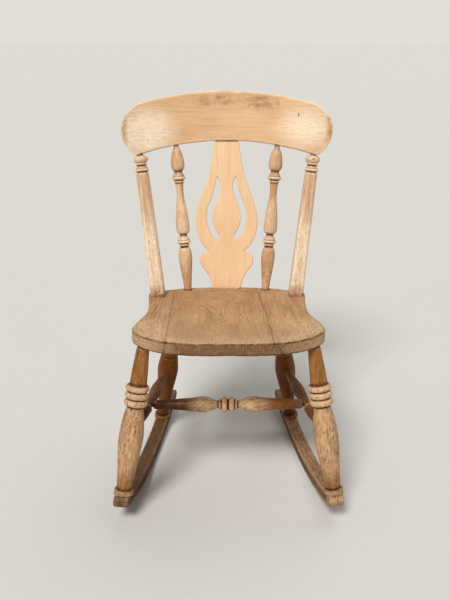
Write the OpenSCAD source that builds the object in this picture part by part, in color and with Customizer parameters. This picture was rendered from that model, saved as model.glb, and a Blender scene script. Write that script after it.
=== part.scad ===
// Lyre-back kitchen rocking chair in bare, weathered wood.
// Millimetres. +Z is up and the sitter faces -Y. The origin is on the floor, midway between the
// two ends of the rockers, on the chair's centre line.

/* [Seat] */
// Height of the seat's top above the floor, at its front edge
seat_height = 405; // [330:1:490]
// Fall of the seat from front to back, in degrees
seat_slope = 3; // [0:0.5:6]
// Depth of the seat from front to back
seat_depth = 405; // [330:1:490]
// Width of the seat at its widest, near the front
seat_width = 400; // [330:1:480]
// Width of the seat at its waist
seat_waist = 357; // [290:1:430]
// Width of the seat across its back corners
seat_back_width = 374; // [310:1:450]
// Thickness of the seat boards
seat_thickness = 26; // [22:0.5:32]
// Distance from the origin forward to the seat's front edge
seat_reach = 245.5; // [230:0.5:262]
// Depth of the saddle dish below the seat's rim
dish_depth = 7; // [3:0.5:10]
// Width across the saddle dish where it would meet the seat's top plane
dish_width = 404; // [390:1:430]
// Place of the left glue joint on the top, from the centre line
left_joint_x = -126; // [-140:1:-110]
// Place of the right glue joint on the top, from the centre line
right_joint_x = 80; // [60:1:86]
// Lean of the left glue joint from upright, in degrees
left_joint_lean = 12; // [0:1:25]
// Lean of the right glue joint from upright, in degrees
right_joint_lean = 38; // [0:1:45]
// Turn of the right glue joint in plan, in degrees
right_joint_turn = 2.5; // [0:0.5:4]
// Gap left by the glue line between two boards
glue_line = 0.1; // [0.05:0.05:0.3]

/* [Back] */
// Rake of the splat from upright, in degrees
back_rake = 11.5; // [5:0.5:20]
// Height of the crest rail's top above the seat, along the rake
back_height = 468.5; // [400:0.5:560]
// Width of the crest rail
crest_width = 482; // [402:1:578]
// Height of the crest rail at its middle
crest_middle = 115; // [96:1:138]
// Thickness of the crest rail
crest_thickness = 20; // [17:0.5:24]
// Radius of the crest rail's bow in plan, at mid thickness
crest_bow = 480; // [400:5:600]
// Radius of the crest rail's long top edge
crest_top_radius = 620; // [560:10:800]
// Radius of the arch under the crest rail
crest_arch_radius = 600; // [540:10:800]
// Radius of the crest rail's round ends
crest_end_radius = 67; // [60:1:70]
// Distance of each post's centre in from the crest rail's end
crest_post_inset = 40; // [36:1:50]
// Distance of each spindle's top from the centre line
spindle_top_x = 119; // [100:1:130]
// Distance of each spindle's foot from the centre line
spindle_foot_x = 93.7; // [80:0.1:100]
// Distance of the spindles' feet in from the seat's back edge
spindle_inset = 24; // [20:1:30]
// Distance of each post's foot in from the seat's back corner, across the seat
post_side_inset = 24.5; // [20:0.5:30]
// Distance of the posts' feet in from the seat's back edge
post_inset = 69; // [62:1:80]
// Width of a post's square foot
post_foot = 33; // [28:0.5:38]
// Width of a post's shaft at its top
post_neck = 28; // [24:0.5:31]
// Diameter of the bead at the top of a post
post_bead = 34; // [28:0.5:36]
// Diameter of a spindle's bulbs
spindle_bulb = 32.5; // [26:0.5:34]
// Diameter of a spindle's thinnest stretch
spindle_thin = 16.5; // [12:0.5:18]
// Distance of the splat's centre in from the seat's back edge
splat_inset = 13; // [11:0.5:20]
// Thickness of the splat
splat_thickness = 10; // [8:0.5:12]
// Width of the splat at its foot
splat_foot = 69; // [60:1:80]
// Width of the splat across its lyre
splat_width = 149; // [124:1:170]
// Width of the splat at its top
splat_top = 61; // [50:1:70]
// Width of each of the splat's two pierced slots
slot_width = 13.5; // [10:0.5:15]

/* [Legs] */
// Distance of the front legs' tops in from the seat's side
front_leg_side_inset = 26.5; // [24:0.5:40]
// Distance of the front legs' tops behind the seat's front edge
front_leg_inset = 66; // [50:1:90]
// Distance of the rear legs' tops in from the seat's back corner, across the seat
rear_leg_side_inset = 64; // [50:1:80]
// Distance of the rear legs' tops in from the seat's back edge
rear_leg_inset = 75; // [60:1:90]
// Distance of the front feet from the centre line
front_foot_x = 222; // [200:1:240]
// Distance of the front feet in front of the origin
front_foot_y = 240; // [225:1:255]
// Distance of the rear feet from the centre line
rear_foot_x = 166; // [150:1:190]
// Distance of the rear feet behind the origin
rear_foot_y = 150; // [130:1:170]
// Diameter of a front leg at the seat
leg_top = 26; // [24:0.5:30]
// Diameter of a front leg just above its rings
leg_shoulder = 35.5; // [32:0.5:40]
// Diameter of the three rings on a front leg
leg_ring = 49; // [44:0.5:54]
// Spacing of the three rings
leg_ring_pitch = 15.5; // [13:0.5:18]
// Distance from the seat down to the middle ring
leg_ring_drop = 106; // [90:1:120]
// Diameter of a leg's bulb
leg_bulb = 51; // [44:0.5:56]
// Diameter of the collar at a leg's foot
leg_collar = 40; // [36:0.5:44]
// Thickness of the collar at a front leg's foot
front_collar = 13; // [9:0.5:15]
// Thickness of the collar at a rear leg's foot
rear_collar = 9; // [7:0.5:12]

/* [Stretchers] */
// Height at which a side stretcher enters its front leg
side_front_z = 202; // [180:1:215]
// Height at which a side stretcher enters its rear leg
side_rear_z = 181; // [160:1:200]
// Distance of a side stretcher's front end in from the leg's centre
side_front_offset = 8; // [0:0.5:10]
// Diameter of a side stretcher's bulb
side_bulb = 28; // [24:0.5:32]
// Distance of the cross stretcher behind the front legs, along the side stretchers
cross_setback = 120; // [100:1:130]
// Diameter of the cross stretcher's two bulges
cross_bulge = 36; // [30:0.5:40]

/* [Rockers] */
// Radius of a rocker's underside
rocker_radius = 950; // [800:10:1200]
// Place along the chair where the rockers touch the floor at rest
balance_y = 15.5; // [-30:0.5:30]
// Width of a rocker
rocker_width = 32; // [28:0.5:40]
// Thickness of a rocker
rocker_thickness = 24; // [20:0.5:28]
// Reach of a rocker in front of its front leg
toe_reach = 26; // [20:0.5:40]
// Reach of a rocker behind its rear leg
tail_reach = 117; // [90:0.5:150]
// Length of the flat worn on a rocker where the chair rests
rocker_flat = 50; // [30:1:60]

/* [Joinery] */
// Clearance round a tenon in its socket
tenon_fit = 0.1; // [0.05:0.05:0.2]
// Diameter of a leg's tenons
leg_tenon = 22; // [18:0.5:24]
// Depth of a tenon in the seat
seat_socket = 17; // [14:0.5:18]
// Diameter of a post's tenon in the seat
post_tenon = 20; // [16:0.5:22]
// Diameter of a spindle's foot and its tenon in the seat
spindle_foot = 18; // [15:0.5:20]
// Diameter of the tenons in the crest rail
crest_tenon = 12; // [10:0.5:13]
// Depth of the tenons in the crest rail
crest_socket = 20; // [16:0.5:26]
// Diameter of a side stretcher's ends
side_tenon = 16; // [13:0.5:18]
// Diameter of the cross stretcher's tenons
cross_tenon = 11; // [9:0.5:12]
// Depth of a leg's tenon in its rocker
rocker_socket = 15; // [12:0.5:18]
// Diameter of a nail's shank
nail_shank = 1.8; // [1.4:0.1:2.2]
// Diameter of a nail's head
nail_head = 3.6; // [3:0.1:4.5]

/* [Hidden] */

round_fn = 72;
arc_fn = 720;
big = 2000;

tan_beech = "#d9b083";
pale_beech = "#e3bd8c";
elm = "#b08a60";
stained = "#8a5a2c";
grey_brown = "#6b4d33";
rust = "#6a3a22";

// ---- Points and directions ----

// A point of the seat: x across, a back from the front edge, n above the seat's top plane
function seat_point(x, a, n = 0) = [
    x,
    -seat_reach + a * cos(seat_slope) + n * sin(seat_slope),
    seat_height - a * sin(seat_slope) + n * cos(seat_slope)
];

splat_a = seat_depth - splat_inset;
splat_origin = seat_point(0, splat_a);

// A point of the back: x across, t back from the splat's mid plane, l up along the rake
function back_point(x, t, l) = splat_origin + [
    x,
    t * cos(back_rake) + l * sin(back_rake),
    l * cos(back_rake) - t * sin(back_rake)
];

function bow(x) = sqrt(pow(crest_bow, 2) - pow(x, 2)) - crest_bow;

arch_top = back_height - crest_middle;
function arch(x) = arch_top - crest_arch_radius + sqrt(pow(crest_arch_radius, 2) - pow(x, 2));

// The point on the line from p to q at the given height
function at_height(p, q, z) = p + (q - p) * (z - p.z) / (q.z - p.z);

post_a = seat_depth - post_inset;
post_foot_x = seat_back_width / 2 - post_side_inset;
post_top_x = crest_width / 2 - crest_post_inset;
post_low = seat_point(post_foot_x, post_a);
post_high = back_point(post_top_x, bow(post_top_x), arch(post_top_x));

spindle_a = seat_depth - spindle_inset;
spindle_low = seat_point(spindle_foot_x, spindle_a);
spindle_high = back_point(spindle_top_x, bow(spindle_top_x), arch(spindle_top_x));

// The rockers stand upright and run through the feet of the legs
track = atan2(front_foot_x - rear_foot_x, front_foot_y + rear_foot_y);
flat_sagitta = pow(rocker_flat, 2) / (8 * rocker_radius);
rocker_center_z = rocker_radius - flat_sagitta;
rocker_top_radius = rocker_radius - rocker_thickness;
contact_x = front_foot_x - (front_foot_y + balance_y) * tan(track);

function along(y) = (y - balance_y) / cos(track);
function rocker_top(y) = rocker_center_z - sqrt(pow(rocker_top_radius, 2) - pow(along(y), 2));

front_foot = [front_foot_x, -front_foot_y, rocker_top(-front_foot_y)];
rear_foot = [rear_foot_x, rear_foot_y, rocker_top(rear_foot_y)];
front_top = seat_point(seat_width / 2 - front_leg_side_inset, front_leg_inset, -seat_thickness);
rear_top = seat_point(
    seat_back_width / 2 - rear_leg_side_inset, seat_depth - rear_leg_inset, -seat_thickness);

side_front = at_height(front_foot, front_top, side_front_z) - [side_front_offset, 0, 0];
side_rear = at_height(rear_foot, rear_top, side_rear_z);
side_length = norm(side_front - side_rear);
cross_end = side_front + (side_rear - side_front) * cross_setback / side_length;

// ---- Helpers ----

// Stands children, drawn along +Z from the origin, on p and leans them towards q, unturned
module from_to(p, q) {
    v = q - p;
    translate(p)
        rotate([-asin(v.y / norm(v)), atan2(v.x, v.z), 0])
            children();
}

module seat_frame() {
    translate(seat_point(0, 0)) rotate([-seat_slope, 0, 0]) children();
}

module back_frame() {
    translate(splat_origin) rotate([-back_rake, 0, 0]) children();
}

// Rocker frame: x along the rocker from the resting point to the tail, y to its inner side
module rocker_frame() {
    translate([contact_x, balance_y, 0]) rotate([0, 0, 90 + track]) children();
}

module both_sides() {
    children();
    mirror([1, 0, 0]) children();
}

module on_side(left) {
    if (left) mirror([1, 0, 0]) children();
    else children();
}

// Smooth curve through the points, with n steps between neighbours
function curve_at(a, b, c, d, u) = 0.5 * (
    2 * b + (c - a) * u + (2 * a - 5 * b + 4 * c - d) * u * u + (3 * b - a - 3 * c + d) * u * u * u
);
function smooth(p, n = 5) = concat(
    [
        for (i = [0 : len(p) - 2], k = [0 : n - 1])
            curve_at(p[max(i - 1, 0)], p[i], p[i + 1], p[min(i + 2, len(p) - 1)], k / n)
    ],
    [p[len(p) - 1]]
);

// Half-round bead on a turned piece, from radius r_in out to r_out, centred at height z
function bead(z, height, r_in, r_out, n = 8) = [
    for (i = [0 : n])
        let (a = -90 + 180 * i / n)
            [r_in + (r_out - r_in) * cos(a), z + height / 2 * sin(a)]
];

function mirrored(points) = [for (i = [len(points) - 1 : -1 : 0]) [-points[i].x, points[i].y]];

// Solid turned on its axis; outline is a list of [radius, height] from the foot up
module turned(outline) {
    rotate_extrude($fn = round_fn)
        polygon(concat([[0, outline[0].y]], outline, [[0, outline[len(outline) - 1].y]]));
}

// Round peg or hole along the line from p to q, starting at the distance start from p
module rod(p, q, start, length, d) {
    from_to(p, q) translate([0, 0, start]) cylinder(h = length, d = d, $fn = round_fn);
}

// ---- Joints, each drawn once and used for the tenon (fit 0) and for its socket ----

module leg_tenons(fit = 0) {
    both_sides() {
        rod(front_top, front_foot, -seat_socket - fit, seat_socket + 6, leg_tenon + 2 * fit);
        rod(rear_top, rear_foot, -seat_socket - fit, seat_socket + 6, leg_tenon + 2 * fit);
    }
}

module foot_tenons(fit = 0) {
    rod(front_foot, front_top, -rocker_socket - fit, rocker_socket + 8, leg_tenon + 2 * fit);
    rod(rear_foot, rear_top, -rocker_socket - fit, rocker_socket + 8, leg_tenon + 2 * fit);
}

module post_tenons(fit = 0) {
    rod(post_low, post_high, -seat_socket - fit, seat_socket + 4, post_tenon + 2 * fit);
    rod(post_high, post_low, -crest_socket - fit, crest_socket + 4, crest_tenon + 2 * fit);
}

module spindle_tenons(fit = 0) {
    rod(spindle_low, spindle_high, -seat_socket - fit, seat_socket + 4, spindle_foot + 2 * fit);
    rod(spindle_high, spindle_low, -crest_socket - fit, crest_socket + 4, crest_tenon + 2 * fit);
}

splat_tongue = 0.86 * splat_foot;
splat_top_tongue = 0.86 * splat_top;

module splat_tenons(fit = 0) {
    t = splat_thickness + 2 * fit;
    back_frame() {
        translate([-splat_tongue / 2 - fit, -t / 2, -seat_socket - fit])
            cube([splat_tongue + 2 * fit, t, seat_socket + 4]);
        translate([-splat_top_tongue / 2 - fit, -t / 2, arch_top - 4])
            cube([splat_top_tongue + 2 * fit, t, crest_socket + 4 + fit]);
    }
}

side_reach = 6;
module side_tenons(fit = 0) {
    rod(side_rear, side_front, -side_reach - fit, 40, side_tenon + 2 * fit);
    rod(side_front, side_rear, -side_reach - fit, 34, side_tenon + 2 * fit);
}

cross_reach = 3;
module cross_tenons(fit = 0) {
    both_sides()
        translate([cross_end.x - cross_reach - 20, cross_end.y, cross_end.z])
            rotate([0, 90, 0])
                cylinder(h = cross_reach * 2 + 20 + fit, d = cross_tenon + 2 * fit, $fn = round_fn);
}

// ---- Seat ----

front_round = 98;
waist_a = 215;
back_round = 60;

seat_half = smooth([
    [0, 0],
    [seat_width / 2 - 130, 0.5],
    [seat_width / 2 - 72, 13],
    [seat_width / 2 - 33, 37],
    [seat_width / 2 - 8, 67],
    [seat_width / 2, front_round],
    [seat_width / 2 - 6, 134],
    [seat_waist / 2 + 6, 175],
    [seat_waist / 2, waist_a],
    [seat_waist / 2 + 1, (waist_a + seat_depth - back_round) / 2],
    [seat_back_width / 2 - 2, seat_depth - back_round - 14],
    [seat_back_width / 2 - 3, seat_depth - back_round + 12],
    [seat_back_width / 2 - 22, seat_depth - 37],
    [seat_back_width / 4 + 6, seat_depth - 10],
    [0, seat_depth]
], 6);

dish_radius = (pow(dish_width / 2, 2) + pow(dish_depth, 2)) / (2 * dish_depth);
dish_a = 198;

// The ridge runs in an arc in front of the posts, the spindles and the splat
ridge_side = post_a - post_foot / 2 - 6;
ridge_middle = splat_a - splat_thickness / 2 - 8;
ridge_rise = ridge_middle - ridge_side;
ridge_radius = (pow(post_foot_x, 2) + pow(ridge_rise, 2)) / (2 * ridge_rise);

module dish() {
    intersection() {
        translate([0, dish_a, dish_radius - dish_depth]) sphere(r = dish_radius, $fn = 240);
        translate([0, ridge_middle - ridge_radius, -dish_depth * 2])
            cylinder(h = dish_depth * 3, r = ridge_radius, $fn = arc_fn);
    }
}

module seat_blank() {
    difference() {
        seat_frame() difference() {
            translate([0, 0, -seat_thickness])
                linear_extrude(height = seat_thickness)
                    polygon(concat(seat_half, mirrored(seat_half)));
            dish();
        }
        leg_tenons(tenon_fit);
        both_sides() {
            post_tenons(tenon_fit);
            spindle_tenons(tenon_fit);
        }
        splat_tenons(tenon_fit);
        place_foot_nails() nail(tenon_fit / 2);
    }
}

// Everything to the right of a glue joint, shifted sideways by the given amount
module right_of_joint(x, lean, turn, shift) {
    seat_frame()
        translate([x + shift, seat_depth / 2, 0])
            rotate([0, 0, turn])
                rotate([0, -lean, 0])
                    translate([0, -big / 2, -big / 2])
                        cube([big, big, big]);
}

module seat_center_board() {
    color(elm)
        difference() {
            intersection() {
                seat_blank();
                right_of_joint(left_joint_x, -left_joint_lean, 0, glue_line / 2);
            }
            right_of_joint(right_joint_x, right_joint_lean, right_joint_turn, -glue_line / 2);
        }
}

module seat_left_board() {
    color(elm)
        difference() {
            seat_blank();
            right_of_joint(left_joint_x, -left_joint_lean, 0, -glue_line / 2);
        }
}

module seat_right_board() {
    color(elm)
        intersection() {
            seat_blank();
            right_of_joint(right_joint_x, right_joint_lean, right_joint_turn, glue_line / 2);
        }
}

// ---- Back ----

crest_top_center = back_height - crest_top_radius;
crest_end_x = crest_width / 2 - crest_end_radius;
crest_end_l = crest_top_center
    + sqrt(pow(crest_top_radius - crest_end_radius, 2) - pow(crest_end_x, 2));
crest_depth = crest_thickness / 2 - bow(crest_width / 2) + 5;

module crest_outline() {
    tangent = [crest_end_x, crest_end_l - crest_top_center];
    reach = tangent * crest_top_radius / norm(tangent);
    difference() {
        union() {
            for (side = [-1, 1])
                translate([side * crest_end_x, crest_end_l])
                    circle(r = crest_end_radius, $fn = 180);
            intersection() {
                translate([0, crest_top_center]) circle(r = crest_top_radius, $fn = arc_fn);
                polygon([
                    [crest_end_x, crest_end_l - crest_end_radius],
                    [crest_end_x, crest_end_l],
                    [reach.x, reach.y + crest_top_center],
                    [reach.x, back_height + 10],
                    [-reach.x, back_height + 10],
                    [-reach.x, reach.y + crest_top_center],
                    [-crest_end_x, crest_end_l],
                    [-crest_end_x, crest_end_l - crest_end_radius]
                ]);
            }
        }
        translate([0, arch_top - crest_arch_radius])
            circle(r = crest_arch_radius, $fn = arc_fn);
    }
}

module crest_rail() {
    color(pale_beech)
        difference() {
            back_frame() intersection() {
                translate([0, crest_thickness / 2 + 5, 0])
                    rotate([90, 0, 0])
                        linear_extrude(height = crest_depth + crest_thickness + 10)
                            crest_outline();
                translate([0, -crest_bow, 0]) difference() {
                    cylinder(h = big / 2, r = crest_bow + crest_thickness / 2, $fn = arc_fn);
                    cylinder(h = big / 2, r = crest_bow - crest_thickness / 2, $fn = arc_fn);
                }
            }
            both_sides() {
                post_tenons(tenon_fit);
                spindle_tenons(tenon_fit);
            }
            splat_tenons(tenon_fit);
        }
}

// The splat's edge: a foot flaring into two ears, a notch, then the lyre closing to the top
ear_x = 65;
notch_x = 40;
notch_l = 89;
ear_edge = smooth([
    [splat_foot / 2, -20],
    [splat_foot / 2, 2],
    [41, 26],
    [51, 43],
    [61, 56],
    [ear_x, 70],
    [59, 84],
    [notch_x, notch_l]
]);
lyre_edge = smooth([
    [notch_x, notch_l],
    [52, 100],
    [65, 119],
    [splat_width / 2 - 2, 143],
    [splat_width / 2, 165],
    [splat_width / 2 - 4, 191],
    [62, 219],
    [50.5, 250],
    [40.5, 282],
    [33, 324],
    [splat_top / 2, 356],
    [splat_top / 2, 400]
]);

// A slot is a brush of the slot's width drawn along a curve, pointed at its top
slot_line = [
    [20.5, 256], [22, 240], [28, 219], [37, 199], [40.5, 180], [39.5, 160], [33, 140], [24, 127]
];
slot_side = 0.5;

function slot_edge(side) = smooth([
    for (i = [0 : len(slot_line) - 1])
        let (
            before = slot_line[max(i - 1, 0)],
            after = slot_line[min(i + 1, len(slot_line) - 1)],
            dir = (after - before) / norm(after - before),
            w = (i == 0 ? 0.4 : 0.5) * slot_width
        )
            slot_line[i] + side * w * [-dir.y, dir.x]
], 4);

function slot_foot() =
    let (c = slot_line[len(slot_line) - 1], b = slot_line[len(slot_line) - 2], d = c - b,
         start = atan2(d.y, d.x) + 90)
        [for (i = [1 : 7]) c + slot_width / 2 * [cos(start - i * 22.5), sin(start - i * 22.5)]];

slot_tip = [23.5, 272];
slot_shape = concat(
    [slot_tip],
    slot_edge(1),
    slot_foot(),
    [for (i = [len(slot_edge(-1)) - 1 : -1 : 0]) slot_edge(-1)[i]]
);

module splat_outline() {
    edge = concat(ear_edge, [for (i = [1 : len(lyre_edge) - 1]) lyre_edge[i]]);
    difference() {
        polygon(concat(edge, mirrored(edge)));
        polygon(slot_shape);
        mirror([1, 0]) polygon(slot_shape);
    }
}

module splat() {
    color(pale_beech) {
        intersection() {
            back_frame()
                translate([0, splat_thickness / 2, 0])
                    rotate([90, 0, 0])
                        linear_extrude(height = splat_thickness)
                            splat_outline();
            seat_frame()
                translate([-big / 2, -big / 2, tenon_fit])
                    cube(big);
            back_frame()
                translate([-big / 2, -big / 2, arch_top - 3 - big])
                    cube(big);
        }
        intersection() {
            splat_tenons();
            back_frame()
                translate([-big / 2, -big / 2, -seat_socket])
                    cube([big, big, arch_top + crest_socket + seat_socket]);
        }
    }
}

// ---- Posts and spindles ----

post_length = norm(post_high - post_low);
post_turning = 43;

// The more the arch slopes across the post, the further below it the bead is turned
post_tilt = atan(post_top_x / crest_arch_radius)
    - atan2(post_top_x - post_foot_x, post_high.z - post_low.z);
post_bead_height = 18;
post_bead_drop = post_bead_height / 2 + 11.2 * tan(max(post_tilt, 0));
post_ring_drop = 36;

// Slab across Y whose width tapers from w0 at z0 to w1 at z1
module tapered_slab(w0, w1, z0, z1) {
    rotate([90, 0, 0])
        linear_extrude(height = 3 * post_foot, center = true)
            polygon([[-w0 / 2, z0], [w0 / 2, z0], [w1 / 2, z1], [-w1 / 2, z1]]);
}

// Square at the foot, with chamfers that widen until the top is nearly a regular octagon
module post_shaft() {
    top = post_length - post_turning;
    foot_corners = 1.24 * post_foot;
    neck_corners = 1.06 * post_neck;
    intersection_for(turn = [0, 90])
        intersection() {
            rotate([0, 0, turn]) tapered_slab(post_foot, post_neck, -8, top);
            rotate([0, 0, turn + 45]) tapered_slab(foot_corners, neck_corners, -8, top);
        }
}

post_turned = [for (p = concat(
    [[post_neck / 2 - 1.5, post_turning + 1], [post_neck / 2 - 2.5, post_turning - 2]],
    bead(post_ring_drop, -6.5, 12.5, post_bead / 2 - 0.5),
    [[14.2, 32], [12, 28.6], [10.8, 26.4], [10.8, post_bead_drop + 13.6]],
    [[11, post_bead_drop + 13.1], [13, post_bead_drop + 11.7], [13, post_bead_drop + 9.3]],
    bead(post_bead_drop, -post_bead_height, 7, post_bead / 2, 14),
    [[crest_tenon / 2 + 0.6, post_bead_drop - 8.2]]
)) [p.x, post_length - p.y]];

module post_blank() {
    from_to(post_low, post_high) {
        post_shaft();
        turned(post_turned);
    }
}

module above_seat() {
    intersection() {
        children();
        seat_frame() translate([-big / 2, -big / 2, tenon_fit]) cube(big);
    }
}

// Nail with its head at the origin and its point down -Z
module nail(fit = 0, length = 24) {
    translate([0, 0, -length]) cylinder(h = length, d = nail_shank + 2 * fit, $fn = 24);
    translate([0, 0, -0.7 - fit]) cylinder(h = 1.1 + fit, d = nail_head + 2 * fit, $fn = 24);
}

// Two nails driven through the front of the left post's foot
module place_foot_nails() {
    on_side(true)
        from_to(post_low, post_high)
            for (x = [-5.5, 0.5])
                translate([x, -post_foot / 2 + 0.15, 9 - x / 4])
                    rotate([62, 0, 0])
                        children();
}

// A nail through the bead at the top of the right post, pinning its tenon
module place_head_nail() {
    from_to(post_low, post_high)
        translate([-1, -post_bead / 2 + 0.3, post_length - post_bead_drop])
            rotate([84, 0, 0])
                children();
}

module back_post(left) {
    color(tan_beech)
        difference() {
            on_side(left) {
                above_seat() post_blank();
                post_tenons();
            }
            if (left) place_foot_nails() nail(tenon_fit / 2);
            else place_head_nail() nail(tenon_fit / 2);
        }
}

module back_post_left() { back_post(true); }
module back_post_right() { back_post(false); }

module post_foot_nails() {
    color(rust) place_foot_nails() nail();
}

module post_head_nail() {
    color(rust) place_head_nail() nail();
}

spindle_length = norm(spindle_high - spindle_low);

// [radius, distance down from the crest rail], with the tenon at each end. Each ring sits under a small dome
spindle_turned = [for (p = concat(
    [[spindle_foot / 2, spindle_length + seat_socket], [spindle_foot / 2, spindle_length - 6]],
    smooth([
        [spindle_foot / 2 + 0.6, spindle_length - 12],
        [spindle_foot / 2 + 3.4, spindle_length - 38],
        [spindle_bulb / 2 - 0.6, 278],
        [spindle_bulb / 2, 262],
        [spindle_bulb / 2 - 1.6, 249],
        [spindle_bulb / 2 - 4, 243]
    ]),
    [[10, 240.5], [10, 238.5]],
    bead(235, -4, 10.5, 12.2),
    bead(227.3, -6.5, spindle_bulb / 2 - 3, spindle_bulb / 2 + 0.5),
    smooth([[spindle_bulb / 2 - 1.5, 223.4], [12.2, 218], [9.3, 213.5], [8.7, 211]]),
    [[8.7, 209.5]],
    smooth([
        [11, 208],
        [spindle_bulb / 2 - 1.2, 203.5],
        [spindle_bulb / 2, 192],
        [spindle_bulb / 2 - 1.6, 168],
        [12, 145],
        [spindle_thin / 2 + 0.2, 118],
        [spindle_thin / 2 + 0.6, 98],
        [9.6, 88.5]
    ]),
    bead(85, -4, 9.8, 12.6),
    bead(76.5, -6.5, spindle_bulb / 2 - 3, spindle_bulb / 2 + 0.6),
    smooth([[spindle_bulb / 2 - 1.8, 72.6], [11.8, 67.5], [9.7, 63]]),
    [[9.7, 60.5]],
    smooth([
        [11.5, 58.5],
        [spindle_bulb / 2 - 1.6, 53.5],
        [spindle_bulb / 2, 44],
        [14.3, 28],
        [11.6, 17],
        [crest_tenon / 2 + 1, 6],
        [crest_tenon / 2, 1.5]
    ]),
    [[crest_tenon / 2, -crest_socket]]
)) [p.x, spindle_length - p.y]];

module spindle(left) {
    color(tan_beech)
        on_side(left)
            from_to(spindle_low, spindle_high) turned(spindle_turned);
}

module spindle_left() { spindle(true); }
module spindle_right() { spindle(false); }

// ---- Legs ----

front_leg_length = norm(front_top - front_foot);
rear_leg_length = norm(rear_top - rear_foot);
rear_groove_drop = 140;
foot_cut = 8;

function collar(height) = concat(
    [[leg_collar / 2, -foot_cut], [leg_collar / 2, height - 3]],
    [[leg_collar / 2 - 1, height - 1], [leg_collar / 2 - 3, height]]
);

function front_down(points) = [for (p = points) [p.x, front_leg_length - p.y]];

front_leg_turned = concat(
    collar(front_collar),
    smooth([
        [leg_collar / 2 - 5, front_collar + 0.5],
        [leg_collar / 2 - 4.2, front_collar + 6],
        [20, (front_collar + front_leg_length - leg_ring_drop) * 0.26],
        [leg_bulb / 2 - 0.8, (front_leg_length - leg_ring_drop) * 0.48],
        [leg_bulb / 2, (front_leg_length - leg_ring_drop) * 0.6],
        [leg_bulb / 2 - 3, (front_leg_length - leg_ring_drop) * 0.76],
        [17.2, front_leg_length - leg_ring_drop - leg_ring_pitch - 9]
    ]),
    front_down(concat(
        bead(leg_ring_drop + leg_ring_pitch, -leg_ring_pitch + 2, 19, leg_ring / 2),
        bead(leg_ring_drop, -leg_ring_pitch + 2, 19, leg_ring / 2),
        bead(leg_ring_drop - leg_ring_pitch, -leg_ring_pitch + 2, 19, leg_ring / 2),
        [[leg_shoulder / 2, leg_ring_drop - 1.6 * leg_ring_pitch]],
        [[leg_shoulder / 2 - 1.5, 50], [leg_top / 2, 6], [leg_tenon / 2 + 0.6, 4.5]]
    ))
);

function rear_down(points) = [for (p = points) [p.x, rear_leg_length - p.y]];

rear_leg_turned = concat(
    collar(rear_collar),
    smooth([
        [leg_collar / 2 - 6, rear_collar + 0.5],
        [leg_collar / 2 - 6.4, rear_collar + 8],
        [14.4, 46],
        [19.5, (rear_leg_length - rear_groove_drop) * 0.48],
        [leg_bulb / 2 - 0.8, (rear_leg_length - rear_groove_drop) * 0.7],
        [leg_bulb / 2 - 0.6, (rear_leg_length - rear_groove_drop) * 0.82],
        [20.5, rear_leg_length - rear_groove_drop - 3]
    ]),
    rear_down(concat(
        [[18.5, rear_groove_drop]],
        [[20.3, rear_groove_drop - 2.5], [19.2, 110], [leg_top / 2, 6], [leg_tenon / 2 + 0.6, 4.5]]
    ))
);

// Space above a rocker's top face, less the given gap
module above_rocker(gap) {
    intersection() {
        children();
        rocker_frame()
            translate([0, 0, rocker_center_z])
                rotate([90, 0, 0])
                    cylinder(h = big, r = rocker_top_radius - gap, center = true, $fn = arc_fn);
    }
}

module leg(left, foot, top, outline) {
    on_side(left) {
        difference() {
            above_rocker(tenon_fit) from_to(foot, top) turned(outline);
            side_tenons(tenon_fit);
        }
        rod(foot, top, -rocker_socket, rocker_socket + 8, leg_tenon);
        rod(top, foot, -seat_socket, seat_socket + 6, leg_tenon);
    }
}

module front_leg_left() { color(tan_beech) leg(true, front_foot, front_top, front_leg_turned); }
module front_leg_right() { color(tan_beech) leg(false, front_foot, front_top, front_leg_turned); }
module rear_leg_left() { color(stained) leg(true, rear_foot, rear_top, rear_leg_turned); }
module rear_leg_right() { color(stained) leg(false, rear_foot, rear_top, rear_leg_turned); }

// ---- Stretchers ----

side_neck = cross_tenon + 7;

function from_front(points) = [for (p = points) [p.x, side_length - p.y]];

side_turned = concat(
    [[side_tenon / 2, -side_reach], [side_tenon / 2, 26]],
    smooth([
        [side_tenon / 2 + 0.3, 34],
        [side_bulb / 2 - 2.6, 90],
        [side_bulb / 2, 132],
        [side_bulb / 2 - 1.2, 162],
        [side_neck / 2, side_length - cross_setback - 10]
    ]),
    from_front(concat(
        [[side_neck / 2, cross_setback - 9], [side_neck / 2 + 0.4, 103]],
        bead(96, -9, side_neck / 2 + 0.4, 12.6),
        [[9.4, 90]],
        smooth([[11, 87], [11.4, 74], [side_tenon / 2 + 1, 44], [side_tenon / 2, 30]]),
        [[side_tenon / 2, -side_reach]]
    ))
);

module side_stretcher(left) {
    color(grey_brown)
        on_side(left)
            difference() {
                from_to(side_rear, side_front) turned(side_turned);
                cross_tenons(tenon_fit);
            }
}

module side_stretcher_left() { side_stretcher(true); }
module side_stretcher_right() { side_stretcher(false); }

side_splay = atan2(side_front.x - side_rear.x, side_rear.y - side_front.y);
cross_half = cross_end.x - (side_neck + cross_tenon * sin(side_splay)) / (2 * cos(side_splay)) - 0.1;
cross_end_d = 21;

// From the middle out to one end
cross_turned_half = concat(
    [[12.5, 0], [12.5, 1.6]],
    bead(7.8, 11.4, 13, cross_bulge / 2),
    [[11.2, 15.6]],
    bead(18.2, 4, 10.5, 13),
    smooth([
        [8.6, 21.5],
        [9.6, 27],
        [cross_bulge / 2 - 3.2, 40],
        [cross_bulge / 2, 54],
        [cross_bulge / 2 - 2.6, 78],
        [cross_end_d / 2 + 1, 124],
        [cross_end_d / 2, cross_half - 8]
    ]),
    [for (i = [1 : 5]) let (a = i * 15) [
        cross_tenon / 2 + (cross_end_d - cross_tenon) / 2 * cos(a),
        cross_half - 8 + 8 * sin(a)
    ]],
    [[cross_tenon / 2, cross_half]]
);

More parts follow.
